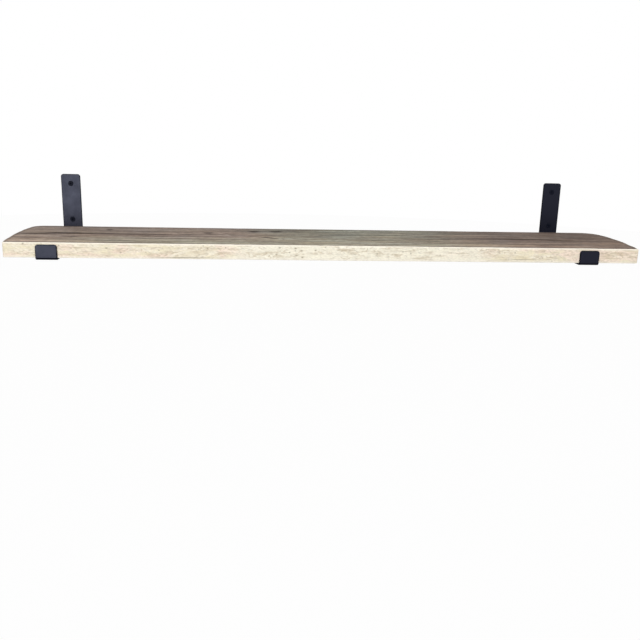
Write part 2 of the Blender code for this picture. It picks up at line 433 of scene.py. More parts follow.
class PinePainter:
    """Lays weathered pine on one plank: what each point of it reads, its coats and its relief.

    Places are in metres along the plank from its left end and back from its front. The way over the
    edge from the top's rim, less than 0 on the top, and the way from the heart line are in millimetres.
    """

    def __init__(self, pine: WeatheredPine, plank: Plank, add: Callable[..., Socket]) -> None:
        """Reads the plank's attributes and works out its late wood, its knots and where it is bleached.

        Each ring darkens slowly through its late wood and ends in a sharp line.

        Args:
            pine: the finish.
            plank: the plank.
            add: adds a node to the material.
        """
        self.pine, self.plank, self.add = pine, plank, add
        self.place = add("TexCoord", out="Object")
        local = add("VectorMath", (self.place, plank.box.low), operation="SUBTRACT")
        self.along, self.back, _ = add("SeparateXYZ", (local,)).node.outputs
        heart = add("Attribute", attribute_name="heart", out="Vector")
        self.from_heart, self.opening, self.end_grain = add("SeparateXYZ", (heart,)).node.outputs
        self.edge = add("Attribute", attribute_name="edge_mm", out="Fac")
        self.fibre, self.streak, self.blotch, self.tint, self.speck = (
            self.noise(grain) for grain in (pine.fibre, pine.streak, pine.blotch, pine.tint, pine.speck)
        )
        self.knot = self.nearest(plank.knots, self.fibre)
        ring = add("Attribute", attribute_name="ring", out="Fac")
        wander = add("Math", (self.streak, 0.9, ring), **TIMES_PLUS)
        phase = add("Math", (wander,), operation="FRACT")
        rise = add("MapRange", (phase, 0.25, 0.88), **SMOOTH)
        fall = add("MapRange", (phase, 0.92, 1.0, 1.0, 0.0), **SMOOTH)
        self.late = add("Math", (rise, fall), **TIMES)
        # Half way along, the sun has taken the brown out.
        faded = add("MapRange", (self.along, 0.38, 0.54), **SMOOTH)
        kept = add("MapRange", (self.along, 0.76, 0.94, 1.0, 0.0), **SMOOTH)
        self.bleach = add("Math", (faded, kept), **TIMES)

    def noise(self, grain: Grain) -> Socket:
        """Makes noise whose blots are streaks of one size.

        Args:
            grain: the size of a streak.

        Returns:
            The noise, about 0.5.
        """
        size = (grain.length * MM, grain.width * MM, grain.width * MM)
        turned = {"Vector": self.place, "Rotation": (0.0, grain.lean, 0.0), "Scale": size}
        local = self.add("Mapping", turned, vector_type="TEXTURE")
        return self.add("TexNoise", {"Vector": local, "Scale": 1.0, "Detail": 3.0})

    def nearest(self, knots: Sequence[Knot], ragged: Socket) -> Socket:
        """Reads how far a point is from the nearest knot, where 1 is the knot's rim.

        Args:
            knots: the knots.
            ragged: noise that makes the rim uneven.

        Returns:
            The distance.
        """
        add = self.add
        nearest = add("Math", (ragged, 9.0), operation="ADD")
        for knot in knots:
            local = add("Mapping", {
                "Vector": self.place,
                "Location": self.plank.corner + knot.centre,
                "Rotation": (0.0, 0.0, knot.turn),
                "Scale": knot.reach,
            }, vector_type="TEXTURE")
            away = add("VectorMath", (local,), out="Value", operation="LENGTH")
            rim = add("Math", (ragged, 0.4, 1.4 * knot.faded), **TIMES_PLUS)
            uneven = add("Math", (away, rim), operation="ADD")
            nearest = add("Math", (nearest, uneven), operation="MINIMUM")
        return nearest

    def top(self) -> list[Coat]:
        """Colours the weathered top: grey and brown bands, late wood, streaks, stained splits and knots.

        Returns:
            The coats over its brown, from the first to the last.
        """
        add, pine = self.add, self.pine
        length, depth, _ = self.plank.box.size
        # The front has faded along most of its length.
        grey = add("MapRange", (self.back, 0.03, 0.11, 1.0, 0.0))
        begun = add("MapRange", (self.along, 0.02, 0.18))
        ended = add("MapRange", (self.along, 0.80, 1.0, 1.0, 0.0))
        for share in (begun, ended):
            grey = add("Math", (grey, share), **TIMES)
        grey = add("Math", (self.bleach, grey), **LARGER)
        band = add("MapRange", (self.noise(pine.band), 0.35, 0.65, -0.30, 0.30))
        grey = add("Math", (grey, band), operation="ADD", use_clamp=True)
        # The top darkens towards the right end.
        right = add("MapRange", (self.along, 0.62, length), **SMOOTH)
        hard = add("Math", (self.late, 0.6), **TIMES)
        coats = [Coat(grey, pine.top_grey), Coat(right, pine.top_umber), Coat(hard, pine.top_late)]
        for grain, start, most in ((pine.split, 0.34, 0.8), (pine.nick, 0.30, 0.75)):
            more = add("Math", (right, -0.06, self.noise(grain)), **TIMES_PLUS)
            stained = add("MapRange", (more, start, start + 0.12, most, 0.0))
            coats.append(Coat(stained, pine.top_stain))

        scuff = self.noise(pine.scuff)
        for noise, least, most in ((self.streak, 0.56, 1.34), (self.fibre, 0.82, 1.12), (scuff, 0.81, 1.19)):
            tone = add("MapRange", (noise, NOISE_LOW, NOISE_HIGH, least, most))
            coats.append(Coat(1.0, tone, Blend.TINT))
        # Some patches are warmer than others. The front is painted paler and yellower, as light, and the
        # back darker and greyer, as shade.
        back = add("Mix", {0: self.bleach, 6: pine.back_shade_tone, 7: pine.bleached_back_shade_tone}, 2, **RGBA)
        ramps = (
            (self.tint, NOISE_LOW, NOISE_HIGH, pine.warm_tone, pine.cool_tone, {}),
            (self.back, 0.0, 0.10, pine.front_light_tone, pine.plain_tone, SMOOTH),
            (self.back, 0.10, depth, pine.behind_tone, back, {}),
        )
        for value, start, end, first, last, settings in ramps:
            inputs = {"Vector": value, 7: (start,) * 3, 8: (end,) * 3, 9: first, 10: last}
            tone = add("MapRange", inputs, "Vector", data_type="FLOAT_VECTOR", **settings)
            coats.append(Coat(1.0, tone, Blend.TINT))

        # Dirt has worked into the rim, most of all along the front. An open check is painted dark as
        # shade, in its groove and fading out a few millimetres beside it.
        front = add("MapRange", (self.back, 0.011, 0.004, 0.0, 0.85))
        rim = add("MapRange", (self.edge, -9.0, -2.0, 0.0, 0.5), **SMOOTH)
        rim = add("Math", (front, rim), **LARGER)
        core = add("MapRange", (self.knot, 0.7, 1.4, 0.85, 0.0), **SMOOTH)
        off_heart = add("Math", (self.from_heart,), operation="ABSOLUTE")
        near = add("MapRange", (off_heart, 2.5, 8.0, 0.95, 0.0), **SMOOTH)
        check_shade = add("Math", (near, self.opening), **TIMES)
        coats += [Coat(rim, pine.top_stain), Coat(core, pine.top_dark), Coat(check_shade, pine.top_dark)]
        return coats

    def cut(self) -> list[Coat]:
        """Colours the sawn faces: cream with pink and straw tints, broken dashes, saw strokes and flecks.

        Returns:
            The coats over the early wood's cream, from the first to the last.
        """
        add, pine, girth = self.add, self.pine, self.plank.girth_mm
        hard = add("Math", (self.late, 0.5), **TIMES)
        rosy = add("MapRange", (self.along, 0.85, self.plank.box.size[0], 0.0, 0.12))
        tint = add("Math", (self.tint, rosy), operation="ADD")
        pink, straw = (
            add("MapRange", (noise, 0.50, 0.64, 0.0, 0.85), **SMOOTH) for noise in (tint, self.blotch)
        )
        faded = add("Math", (tint, 0.6, self.bleach), **TIMES_PLUS)
        faded = add("MapRange", (faded, 0.28, 0.72, 0.0, 0.85), **SMOOTH)
        # The saw has cut across wavy fibre, whose rings show as curled lines: the contours of a slow noise.
        swell = add("Math", (self.noise(pine.curl), pine.curl_lines), **TIMES)
        swell = add("Math", (swell, 0.5), operation="PINGPONG")
        curls = add("MapRange", (swell, 0.24, 0.46), **SMOOTH)
        shown = add("MapRange", (self.blotch, 0.36, 0.60, 0.62, 0.0))
        curls = add("Math", (curls, shown), **TIMES)
        dashes = add("MapRange", (self.noise(pine.dash), 0.30, 0.48, 0.55, 0.0))
        # The underside is flat-sawn: it shows long rings, and few curls and dashes.
        under = add("MapRange", (self.edge, girth, girth + 6.0))
        plain = add("MapRange", (under, 0.0, 1.0, 1.0, 0.2))
        curls, dashes = (add("Math", (share, plain), **TIMES) for share in (curls, dashes))
        coats = [
            Coat(hard, pine.cut_late), Coat(pink, pine.cut_pink), Coat(straw, pine.cut_straw),
            Coat(faded, pine.cut_pale), Coat(curls, pine.cut_brown), Coat(dashes, pine.cut_brown),
        ]
        tones = (
            (self.fibre, NOISE_LOW, NOISE_HIGH, 0.95, 1.04),
            (self.speck, NOISE_LOW, NOISE_HIGH, 0.90, 1.08),
            (self.noise(pine.stroke), 0.26, 0.42, 0.83, 1.0),
        )
        for tone in tones:
            coats.append(Coat(1.0, add("MapRange", tone), Blend.TINT))

        spots = {"Vector": self.place, "Scale": 1.0 / (pine.fleck_spacing * MM)}
        flecks = add("TexVoronoi", spots).node.outputs
        chance = add("SeparateColor", (flecks["Color"],)).node.outputs
        small = add("MapRange", (flecks["Distance"], 0.08, 0.24, 0.6, 0.0))
        rare = add("MapRange", (chance["Red"], 0.66, 0.80))
        fleck = add("Math", (small, rare), **TIMES)
        core = add("MapRange", (self.knot, 0.6, 1.1, 0.8, 0.0), **SMOOTH)
        ringed = add("MapRange", (self.late, 0.0, 1.0, 0.15, 0.85))
        rings = add("Math", (under, 0.5), **TIMES)
        rings = add("Math", (self.end_grain, rings), **LARGER)
        rings = add("Math", (rings, ringed), **TIMES)
        # Both rounded edges of the sawn faces are painted palest, as a highlight, less where bleached.
        most = add("MapRange", (self.bleach, 0.0, 1.0, 0.8, 0.4))
        upper = add("MapRange", (self.edge, 1.6, 5.0, most, 0.0))
        turned = add("Math", (self.edge, girth), operation="SUBTRACT")
        turned = add("Math", (turned,), operation="ABSOLUTE")
        lower = add("MapRange", (turned, 2.0, 6.0, 0.75, 0.0))
        painted_arris_highlight = add("Math", (upper, lower), **LARGER)
        pin = self.nearest(self.plank.pin_knots, self.speck)
        spot = add("MapRange", (pin, 0.3, 1.6, 0.72, 0.0), **SMOOTH)
        coats += [
            Coat(fleck, pine.cut_fleck), Coat(core, pine.cut_knot), Coat(rings, pine.cut_brown),
            Coat(painted_arris_highlight, pine.cut_arris_highlight), Coat(spot, pine.cut_fleck),
        ]
        return coats

    def relief(self) -> Socket:
        """Raises the late wood and the fibres, and leaves low saw ridges across the underside.

        Returns:
            The bumped normal.
        """
        add, girth = self.add, self.plank.girth_mm
        marks = add("TexWave", {
            "Vector": self.place,
            "Scale": 2.0 * math.pi / (self.pine.saw_mark_spacing * MM * WAVE_RADIANS),
            "Distortion": 1.5,
            "Detail": 1.0,
        }, out="Fac")
        under = add("MapRange", (self.edge, girth - 1.0, girth + 1.0))
        ridges = add("Math", (marks, under), **TIMES)
        height = add("Math", (self.late, 0.5, self.fibre), **TIMES_PLUS)
        height = add("Math", (ridges, 0.5, height), **TIMES_PLUS)
        return add("Bump", {"Height": height, "Distance": self.pine.bump_height * MM, "Strength": 0.8})


@dataclass(frozen=True)
class Wave:
    """A shallow hollow in a sawn end, at a place along the frame's Y; less than 0 is a swelling."""

    place: float
    half_width: float
    depth: float


@dataclass(frozen=True)
class SawnEnd:
    """One end of the plank seen from above: a shallow bow with a rounded corner at each side.

    The bow of depth b over a plank of width w is a circle of radius (w w / 4 + b b) / (2 b), and each
    corner is a circle that touches it and the plank's long edge. The saw's waves are bell curves.
    """

    bow: float
    back_corner: float
    waves: tuple[Wave, ...]
    front_corner: float = 0.0025

    def outline(self, y: Array, front: float, back: float, inset: float) -> tuple[Array, Array, Array]:
        """Follows the outline, moved in by a margin.

        Args:
            y: places from front to back.
            front: where the plank's front edge is.
            back: where its back edge is.
            inset: how far inside the real outline to go.

        Returns:
            How far the outline stands out past the front corners, and the two parts of its normal,
            out along the plank and towards the back.
        """
        width, middle = back - front, (back + front) / 2
        bow_radius = (width**2 / 4 + self.bow**2) / (2 * self.bow)
        bow_out = self.bow - bow_radius
        centre_out, centre_y, radius = (np.full(y.shape, v) for v in (bow_out, middle, bow_radius - inset))
        corners = (
            (self.front_corner, front + self.front_corner, -1),
            (self.back_corner, back - self.back_corner, 1),
        )
        for corner, corner_y, side in corners:
            corner_out = bow_out + math.sqrt((bow_radius - corner) ** 2 - (corner_y - middle) ** 2)
            touch_y = middle + (bow_radius - inset) * (corner_y - middle) / (bow_radius - corner)
            past = side * (y - touch_y) > 0
            centre_out = np.where(past, corner_out, centre_out)
            centre_y = np.where(past, corner_y, centre_y)
            radius = np.where(past, corner - inset, radius)
        rise = np.sqrt(np.maximum(radius**2 - (y - centre_y) ** 2, 0.0))
        out, normal_out, normal_back = centre_out + rise, rise / radius, (y - centre_y) / radius
        for wave in self.waves:
            share = (y - wave.place) / wave.half_width
            bell = wave.depth * np.exp(-(share**2))
            out = out - bell
            normal_back = normal_back - 2.0 * share / wave.half_width * bell * normal_out
        length = np.hypot(normal_out, normal_back)
        return out, normal_out / length, normal_back / length


@dataclass(frozen=True)
class Check:
    """A stretch of the plank's heart line that has split open, in metres from the left front corner."""

    start: float
    end: float
    fade: float


@dataclass
class Plank(Part):
    """The plank: a flat-sawn board with bowed ends, worn edges and checks along its heart line.

    Sizes are in metres but for those whose names end in mm.
    """

    left: SawnEnd = SawnEnd(0.007, 0.024, (Wave(-0.160, 0.022, 0.0010), Wave(-0.062, 0.022, -0.0008)))
    right: SawnEnd = SawnEnd(
        0.011,
        0.034,
        (Wave(-0.170, 0.024, 0.0030), Wave(-0.058, 0.026, -0.0018), Wave(-0.210, 0.008, 0.0018)),
    )
    arris: float = 0.0015
    columns: int = 420
    row_step: float = 0.0034
    crowd_mm: tuple[float, ...] = (0.0, 0.25, 0.55, 0.9, 1.3, 1.9, 2.8, 4.2)
    front_corner_steps: int = 5
    back_corner_steps: int = 15
    arris_steps: int = 4
    side_steps: int = 6
    ring_width_mm: float = 3.2
    knot_swell_mm: float = 7.0
    knot_spread: tuple[float, float] = (2.6, 1.8)
    pith_below: float = 0.036
    pith_sway: float = 0.010
    pith_rise: float = 0.008
    heart_pull: float = 0.06
    hollow_mm: float = 0.15
    rub_reach_mm: float = 1.5
    rub_mm: float = 0.25
    chip_mm: float = 0.4
    check_half_width: float = 0.0015
    check_depth: float = 0.005
    heart_line: tuple[tuple[float, float], ...] = (
        (0.000, 0.100), (0.073, 0.115), (0.150, 0.112), (0.320, 0.116),
        (0.916, 0.108), (0.981, 0.110), (1.065, 0.100), (1.193, 0.093),
    )
    checks: tuple[Check, ...] = (Check(-0.02, 0.300, 0.05), Check(0.850, 1.150, 0.12))
    knots: tuple[Knot, ...] = (
        Knot(0.107, 0.074, 0.017, 0.005, 0.035, 0.25, 0.7),
        Knot(0.158, 0.171, 0.010, 0.009, 0.035, 0.15),
        Knot(0.242, 0.090, 0.012, 0.007, 0.035, 0.1, 0.5),
        Knot(0.318, 0.116, 0.022, 0.004, 0.020),
        Knot(0.356, 0.141, 0.012, 0.009, 0.035),
        Knot(0.447, 0.169, 0.012, 0.013, 0.040),
        Knot(0.492, 0.173, 0.015, 0.012, 0.040, 0.0, 0.3),
        Knot(0.473, 0.088, 0.014, 0.005, 0.025),
        Knot(0.487, 0.077, 0.011, 0.005, 0.025),
        Knot(0.760, 0.150, 0.012, 0.008, 0.035, 0.5),
        Knot(1.131, 0.055, 0.009, 0.008, 0.035, 0.6),
        Knot(0.264, 0.000, 0.016, 0.012, 0.004, up=0.060),
    )
    pin_knots: tuple[Knot, ...] = (
        Knot.pin(0.036, 0.0257, 0.0020),
        Knot.pin(0.182, 0.0190, 0.0030),
        Knot.pin(0.207, 0.0113, 0.0024),
        # A long, thin dark line just above the bottom edge of the front.
        Knot.pin(0.319, 0.0030, 0.0620, 0.0013),
        Knot.pin(0.488, 0.0107, 0.0026),
        Knot.pin(0.494, 0.0232, 0.0026),
        Knot.pin(0.512, 0.0146, 0.0022),
        Knot.pin(0.523, 0.0222, 0.0028),
        Knot.pin(0.525, 0.0092, 0.0030),
        Knot.pin(0.534, 0.0186, 0.0030),
        Knot.pin(0.536, 0.0056, 0.0022),
        Knot.pin(0.560, 0.0189, 0.0024),
        Knot.pin(0.950, 0.0060, 0.0320, 0.0006),
    )
    finish: WeatheredPine = WeatheredPine()

    @property
    def corner(self) -> Array:
        """The left front lower corner, where both straight edges would meet."""
        return self.box.low + np.array([self.left.bow, 0.0, 0.0])

    @property
    def middle_y(self) -> float:
        """Halfway from the front to the back."""
        return float(self.box.centre[1])

    @property
    def straight(self) -> float:
        """The height of a side between its rounded edges."""
        return float(self.box.size[2]) - 2 * self.arris

    @property
    def girth_mm(self) -> float:
        """The way down a side from the top's rim to the underside's, over both rounded edges."""
        return (self.straight + math.pi * self.arris) / MM

    def outline(self, end: SawnEnd, y: Array) -> tuple[Array, Array, Array]:
        """Follows an end's outline inside the rounded edges, as SawnEnd.outline does."""
        return end.outline(y, self.box.low[1], self.box.high[1], self.arris)

    def rows(self) -> Array:
        """Spaces the grid's rows from front to back.

        Rows follow the corners' arcs by equal angles, run evenly between them, and crowd together at
        the heart line, so that an open check has its own rows.

        Returns:
            The rows' places.
        """
        front, back = self.box.low[1], self.box.high[1]
        front_turn = np.linspace(0.0, QUARTER, self.front_corner_steps)
        back_turn = np.linspace(0.0, QUARTER, self.back_corner_steps)
        front_corner = max(self.left.front_corner, self.right.front_corner)
        back_corner = max(self.left.back_corner, self.right.back_corner)
        front_arc = front + front_corner - (front_corner - self.arris) * np.cos(front_turn)
        back_arc = back - back_corner + (back_corner - self.arris) * np.sin(back_turn)
        count = int((back_arc[0] - front_arc[-1]) / self.row_step)
        between = np.linspace(front_arc[-1], back_arc[0], count)[1:-1]
        crowd = np.array(self.crowd_mm) * MM
        clear = np.abs(between - self.middle_y) > crowd[-1] + 0.3 * self.row_step
        near = self.middle_y + np.concatenate([-crowd[:0:-1], crowd])
        return np.sort(np.concatenate([front_arc, between[clear], near, back_arc]))

    def heart_y(self, x: Array) -> Array:
        """The heart line's place across the plank, straight between its points."""
        along, back = np.array(self.heart_line).T
        return self.corner[1] + np.interp(x - self.corner[0], along, back)

    def opening(self, x: Array) -> Array:
        """How far the heart line has split open along the plank, from 0 to 1.

        Args:
            x: places along the plank.

        Returns:
            A step up at each check's start and down at its end.
        """
        along = x - self.corner[0]
        spans = [
            smooth_step(check.start, check.start + check.fade, along)
            * (1.0 - smooth_step(check.end - check.fade, check.end, along))
            for check in self.checks
        ]
        return np.max(spans, axis=0)

    def face(self, z: float) -> Array:
        """The flat part of the top or the underside, inside the rounded edges.

        A point at share t of row y lies at left(y) + t (right(y) - left(y)). Rows near the middle
        bend to follow the heart line.

        Args:
            z: the height of the face.

        Returns:
            A grid of points, row by row.
        """
        share = np.linspace(0.0, 1.0, self.columns)[None, :]
        rows = self.rows()[:, None] + 0.0 * share
        low, high = self.box.low[0] + self.left.bow, self.box.high[0] - self.right.bow
        pull = np.cos(np.clip(np.abs(rows - self.middle_y) / self.heart_pull, 0.0, 1.0) * QUARTER) ** 2
        y = rows + pull * (self.heart_y(low + share * (high - low)) - self.middle_y)
        from_left = low - self.outline(self.left, y)[0]
        from_right = high + self.outline(self.right, y)[0]
        x = from_left + share * (from_right - from_left)
        return np.stack([x, y, np.full(x.shape, z)], axis=-1)

    def rim(self, face: Array) -> tuple[Array, Array]:
        """Goes once round the edge of a face, counter-clockwise from above.

        Args:
            face: the grid of the face.

        Returns:
            The row and column of each point, and the outline's normal there.
        """
        rows, columns = face.shape[:2]
        table = np.arange(rows * columns).reshape(rows, columns)
        loop = np.concatenate([table[0], table[1:, -1], table[-1, -2::-1], table[-2:0:-1, 0]])
        row, column = np.divmod(loop, columns)
        y = face[row, column, 1]
        level = np.zeros(y.shape)
        normal = np.stack([level, np.where(row == 0, -1.0, 1.0), level], axis=-1)
        for at, side, end in ((columns - 1, 1.0, self.right), (0, -1.0, self.left)):
            _, out, back = self.outline(end, y)
            normal = np.where((column == at)[:, None], np.stack([side * out, back, level], axis=-1), normal)
        return np.stack([row, column]), normal

    def side(self, rim: Array, normal: Array) -> tuple[Array, Array, Array]:
        """The sides: a quarter round, a straight drop and a quarter round, carried round the rim.

        Args:
            rim: the points round the edge of the top.
            normal: the outline's normal at each.

        Returns:
            The rings of points from the top down, their normals, and the way down to each in millimetres.
        """
        quarter = np.linspace(0.0, QUARTER, self.arris_steps + 1)[1:]
        drop = np.linspace(0.0, self.straight, self.side_steps + 1)[1:-1]
        lean = np.concatenate([quarter, np.full(drop.size, QUARTER), math.pi - quarter[::-1]])
        fallen = np.concatenate([np.zeros(quarter.size), drop, np.full(quarter.size, self.straight)])
        outward, upward = np.sin(lean)[:, None, None], np.cos(lean)[:, None, None]
        down = self.arris * (1.0 - upward) + fallen[:, None, None]
        points = rim + self.arris * outward * normal - down * UP
        way = np.broadcast_to((self.arris * lean + fallen)[:, None] / MM, points.shape[:2])
        return points, outward * normal + upward * UP, way

    def inside(self, face: Array) -> Array:
        """How far each point of a face lies from its rim, in millimetres.

        Args:
            face: the grid of the face.

        Returns:
            The least of the distances to the two long edges and the two ends.
        """
        x, y = face[..., 0], face[..., 1]
        to_long_edges = np.minimum(y - y[0], y[-1] - y)
        to_ends = np.minimum(x - x[:, :1], x[:, -1:] - x)
        return np.minimum(to_long_edges, to_ends) / MM

    def rings(self, points: Array) -> Array:
        """Counts the growth rings from the pith to each point.

        The pith is a line under the plank that wanders as the tree grew. A ring's number is the
        distance from it over the ring's width, which varies as a sum of two sines, and it swells
        round each knot by a bell curve.

        Args:
            points: places in metres.

        Returns:
            The ring's number, with its fraction.
        """
        along = points * np.array([1.0, 0.0, 0.0])
        pith_y = self.heart_y(points[..., 0]) + self.pith_sway * lattice_noise(along, (0.31, 1.0, 1.0))
        rise = self.pith_rise * lattice_noise(along + 0.37, (0.23, 1.0, 1.0))
        pith_z = self.box.low[2] - self.pith_below + rise
        distance = np.hypot(points[..., 1] - pith_y, points[..., 2] - pith_z) / MM
        for knot in self.knots:
            spread = (points - self.corner - knot.centre)[..., :2] / (knot.reach[:2] * self.knot_spread)
            distance = distance + self.knot_swell_mm * np.exp(-np.sum(spread**2, axis=-1))
        uneven = 0.3 * np.sin(0.31 * distance) + 0.18 * np.sin(0.83 * distance)
        return distance / self.ring_width_mm + uneven

    def wear(self, points: Array, normals: Array, edge_mm: Array) -> Array:
        """How deep the surface has worn in at each point, never outwards.

        Slow hollows lie all over. The rounded edges are rubbed back and chipped by noise along them,
        and an open check is a notch with straight sides.

        Args:
            points: places before wear.
            normals: the surface's normals there.
            edge_mm: the way from the top's rim, less than 0 on the top.

        Returns:
            The depth in metres.
        """
        hollow = self.hollow_mm * (1.0 + lattice_noise(points, (0.13, 0.04, 0.04)))
        quarter_mm = math.pi / 4 * self.arris / MM
        upper, lower = (
            np.exp(-(((edge_mm - middle) / self.rub_reach_mm) ** 2))
            for middle in (quarter_mm, self.girth_mm - quarter_mm)
        )
        rub = 0.5 + 0.5 * lattice_noise(points, (0.045, 0.045, 1.0))
        chip = smooth_step(0.45, 0.9, lattice_noise(points + 0.71, (0.014, 0.014, 1.0)))
        rubbed = (upper + 0.7 * lower) * (self.rub_mm * rub**2 + self.chip_mm * chip)
        off_heart = np.abs(points[..., 1] - self.heart_y(points[..., 0]))
        notch = np.clip(1.0 - off_heart / self.check_half_width, 0.0, 1.0) * self.opening(points[..., 0])
        fading = 1.0 - smooth_step(0.0, 0.7 * self.girth_mm, edge_mm)
        facing = np.where(np.abs(normals[..., 1]) > 0.7, 0.0, 1.0)
        return (hollow + rubbed) * MM + notch * fading * facing * self.check_depth

    def build(self) -> bpy.types.Object:
        """Builds and dresses the plank.

        Returns:
            The finished piece.
        """
        top, underside = self.face(self.box.high[2]), self.face(self.box.low[2])
        (row, column), normal = self.rim(top)
        side, side_normals, way = self.side(top[row, column], normal)
        up = np.broadcast_to(UP, top.shape)
        inside = self.inside(top)
        blocks = ((top, up, -inside), (side, side_normals, way), (underside, -up, self.girth_mm + inside))

        surface = Surface()
        upper, middle, lower = (
            surface.add_points(points - normals * self.wear(points, normals, edge)[..., None])
            for points, normals, edge in blocks
        )
        surface.add_grid(upper.T)
        surface.add_grid(np.vstack([upper[row, column], middle, lower[row, column]]), wrap=True)
        surface.add_grid(lower)
        piece = surface.to_object("weathered_plank")

        points, normals, edge_mm = (
            np.concatenate([block.reshape(-1, *tail) for block in part])
            for part, tail in zip(zip(*blocks), ((3,), (3,), ()))
        )
        off_heart = (points[:, 1] - self.heart_y(points[:, 0])) / MM
        heart = np.stack([off_heart, self.opening(points[:, 0]), normals[:, 0] ** 2], axis=-1)
        add_attribute(piece.data, "ring", self.rings(points))
        add_attribute(piece.data, "edge_mm", edge_mm)
        add_attribute(piece.data, "heart", heart)
        return self.dress(piece, self.finish.material(self), "weathered_pine")


@dataclass(frozen=True)
class PowderCoat:
    """Black polyester powder coat, sprayed and baked on steel.

    The powder melts into a satin film with a fine pebbled skin, so it shows a broad, soft sheen with
    no sharp reflection. Its edges, its sides and the undersides of its bends are painted matt black, as
    shade.
    """

    film: str = "#080914"
    shaded_edge_film: str = "#07080D"
    sheen_tint: str = "#DCE2FF"
    roughness: float = 0.36
    uneven: float = 0.04
    sheen_level: float = 0.30
    shaded_edge_sheen: float = 0.01
    pebble: float = 1.1
    cloud: float = 17.0
    bump_height: float = 0.02

    def material(self) -> bpy.types.Material:
        """Builds the material.

        Returns:
            The material.
        """
        material, add = blank_material("black_powder_coat_satin_baked")
        place = add("TexCoord", out="Object")
        # The rim paints shade: edges, sides, ends and the undersides of the bends turn black and matt.
        rim = add("Attribute", attribute_name="rim", out="Fac")
        # Real powder pebbles at about 0.3 mm: drawn coarser, so that the skin shows.
        pebbles = add("TexNoise", {"Vector": place, "Scale": 1.0 / (self.pebble * MM), "Detail": 2.0})
        clouds = add("TexNoise", {"Vector": place, "Scale": 1.0 / (self.cloud * MM), "Detail": 3.0})
        edge = add("Math", (rim, clouds), **TIMES)
        least, most = self.roughness - self.uneven, self.roughness + self.uneven
        cloudy = add("MapRange", (clouds, NOISE_LOW, NOISE_HIGH, least, most))
        shader = add("BsdfPrincipled", {
            "Base Color": add("Mix", {0: edge, 6: linear(self.film), 7: linear(self.shaded_edge_film)}, 2, **RGBA),
            "Roughness": add("Math", (pebbles, 0.06, cloudy), **TIMES_PLUS),
            "Specular IOR Level": add("MapRange", (rim, 0.0, 1.0, self.sheen_level, self.shaded_edge_sheen)),
            "Specular Tint": linear(self.sheen_tint),
            "Normal": add("Bump", {"Height": pebbles, "Distance": self.bump_height * MM, "Strength": 0.6}),
        })
        add("OutputMaterial", {"Surface": shader})
        return material


@dataclass(frozen=True)
class ScrewSteel:
    """Steel under a thin skin that clouds between two tones, with its sizes in millimetres."""

    name: str
    tones: tuple[str, str]
    cloud: float
    clouded: tuple[float, float]
    roughness: tuple[float, float]
    bump_height: float
    metallic: float = 0.0
    sheen_level: float = 0.5

    def material(self) -> bpy.types.Material:
        """Builds the material.

        Returns:
            The material.
        """
        material, add = blank_material(self.name)
        place = add("TexCoord", out="Object")
        clouds = add("TexNoise", {"Vector": place, "Scale": 1.0 / (self.cloud * MM), "Detail": 3.0})
        share = add("MapRange", (clouds, self.clouded[0], self.clouded[1]), **SMOOTH)
        first, second = (linear(tone) for tone in self.tones)
        least, most = self.roughness
        shader = add("BsdfPrincipled", {
            "Base Color": add("Mix", {0: share, 6: first, 7: second}, 2, **RGBA),
            "Metallic": self.metallic,
            "Roughness": add("MapRange", (clouds, NOISE_LOW, NOISE_HIGH, least, most)),
            "Specular IOR Level": self.sheen_level,
            "Normal": add("Bump", {"Height": clouds, "Distance": self.bump_height * MM, "Strength": 0.5}),
        })
        add("OutputMaterial", {"Surface": shader})
        return material


class Drive(Enum):
    """Which way a screw is driven, as the axes that carry its two widths and its length."""

    INTO_WALL = (2, 0, 1)
    UP_INTO_PLANK = (0, 1, 2)


@dataclass(frozen=True)
class ScrewSize:
    """The sizes of one kind of countersunk screw, in metres."""

    shank: float
    head: float
    recess_span: float
    recess_width: float
    recess_depth: float
    pitch: float
    thread_depth: float
    head_rim: float = 0.0004
    point: float = 0.006
    clearance: float = 0.0003

    @property
    def cone(self) -> float:
        """The height of the head's cone, whose sides lean at 45 degrees."""
        return (self.head - self.shank) / 2


